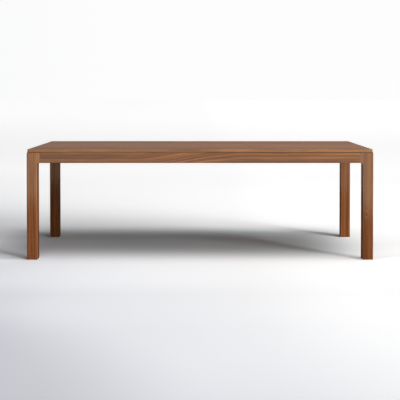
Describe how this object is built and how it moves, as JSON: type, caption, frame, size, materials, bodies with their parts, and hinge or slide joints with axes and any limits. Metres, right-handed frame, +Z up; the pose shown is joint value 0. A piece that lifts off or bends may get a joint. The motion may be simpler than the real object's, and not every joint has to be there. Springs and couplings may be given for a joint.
{
  "type": "parsons dining table",
  "caption": "Rectangular parsons dining table in solid walnut with flush square legs and aprons, an inset top and levelling feet.",
  "frame": {"origin": "on the floor below the middle of the table", "axes": "+X along the length, -Y out of the long front side, +Z up"},
  "size_m": [2.388, 1.016, 0.762],
  "materials": {
    "walnut_top": "oiled",
    "walnut_leg": "oiled",
    "walnut_apron": "oiled",
    "walnut_rail": "raw",
    "beech": "raw",
    "plate_steel": "zinc plated",
    "clip_steel": "zinc plated",
    "fastener_steel": "zinc plated",
    "stem_steel": "zinc plated",
    "insert_brass": "plain",
    "pad_nylon": "matte"
  },
  "bodies": {
    "table": {"apron_front": "walnut_apron", "apron_left": "walnut_apron", "apron_rear": "walnut_apron", "apron_right": "walnut_apron", "corner_plate_front_left": "plate_steel", "corner_plate_front_right": "plate_steel", "corner_plate_rear_left": "plate_steel", "corner_plate_rear_right": "plate_steel", "corner_plate_screws": "fastener_steel", "cross_rail_centre": "walnut_rail", "cross_rail_left": "walnut_rail", "cross_rail_right": "walnut_rail", "cross_rail_screws": "fastener_steel", "foot_inserts": "insert_brass", "hanger_bolt_nuts": "fastener_steel", "hanger_bolt_washers": "fastener_steel", "hanger_bolts": "fastener_steel", "leg_front_left": "walnut_leg", "leg_front_right": "walnut_leg", "leg_rear_left": "walnut_leg", "leg_rear_right": "walnut_leg", "loose_tenons": "beech", "top_board_1": "walnut_top", "top_board_2": "walnut_top", "top_board_3": "walnut_top", "top_board_4": "walnut_top", "top_board_5": "walnut_top", "top_board_6": "walnut_top", "top_board_7": "walnut_top", "top_clip_screws": "fastener_steel", "top_clips": "clip_steel"},
    "pad_front_left": {"foot_pad_front_left": "pad_nylon"},
    "stem_front_left": {"foot_stem_front_left": "stem_steel"},
    "pad_front_right": {"foot_pad_front_right": "pad_nylon"},
    "stem_front_right": {"foot_stem_front_right": "stem_steel"},
    "pad_rear_left": {"foot_pad_rear_left": "pad_nylon"},
    "stem_rear_left": {"foot_stem_rear_left": "stem_steel"},
    "pad_rear_right": {"foot_pad_rear_right": "pad_nylon"},
    "stem_rear_right": {"foot_stem_rear_right": "stem_steel"}
  },
  "joints": [
    {"name": "foot_lift_front_left", "type": "slide", "parent": "table", "child": "pad_front_left", "axis": [0, 0, -1], "range_m": [0, 0.01]},
    {"name": "foot_screw_front_left", "type": "hinge", "parent": "pad_front_left", "child": "stem_front_left", "pos_m": [-1.1575, -0.4715, 0.02], "axis": [0, 0, -1], "range_deg": [0, 2880]},
    {"name": "foot_lift_front_right", "type": "slide", "parent": "table", "child": "pad_front_right", "axis": [0, 0, -1], "range_m": [0, 0.01]},
    {"name": "foot_screw_front_right", "type": "hinge", "parent": "pad_front_right", "child": "stem_front_right", "pos_m": [1.1575, -0.4715, 0.02], "axis": [0, 0, -1], "range_deg": [0, 2880]},
    {"name": "foot_lift_rear_left", "type": "slide", "parent": "table", "child": "pad_rear_left", "axis": [0, 0, -1], "range_m": [0, 0.01]},
    {"name": "foot_screw_rear_left", "type": "hinge", "parent": "pad_rear_left", "child": "stem_rear_left", "pos_m": [-1.1575, 0.4715, 0.02], "axis": [0, 0, -1], "range_deg": [0, 2880]},
    {"name": "foot_lift_rear_right", "type": "slide", "parent": "table", "child": "pad_rear_right", "axis": [0, 0, -1], "range_m": [0, 0.01]},
    {"name": "foot_screw_rear_right", "type": "hinge", "parent": "pad_rear_right", "child": "stem_rear_right", "pos_m": [1.1575, 0.4715, 0.02], "axis": [0, 0, -1], "range_deg": [0, 2880]}
  ],
  "couplings": [
    {"joint": "foot_lift_front_left", "follows": "foot_screw_front_left", "m_per_rad": 0.00019894},
    {"joint": "foot_lift_front_right", "follows": "foot_screw_front_right", "m_per_rad": 0.00019894},
    {"joint": "foot_lift_rear_left", "follows": "foot_screw_rear_left", "m_per_rad": 0.00019894},
    {"joint": "foot_lift_rear_right", "follows": "foot_screw_rear_right", "m_per_rad": 0.00019894}
  ]
}
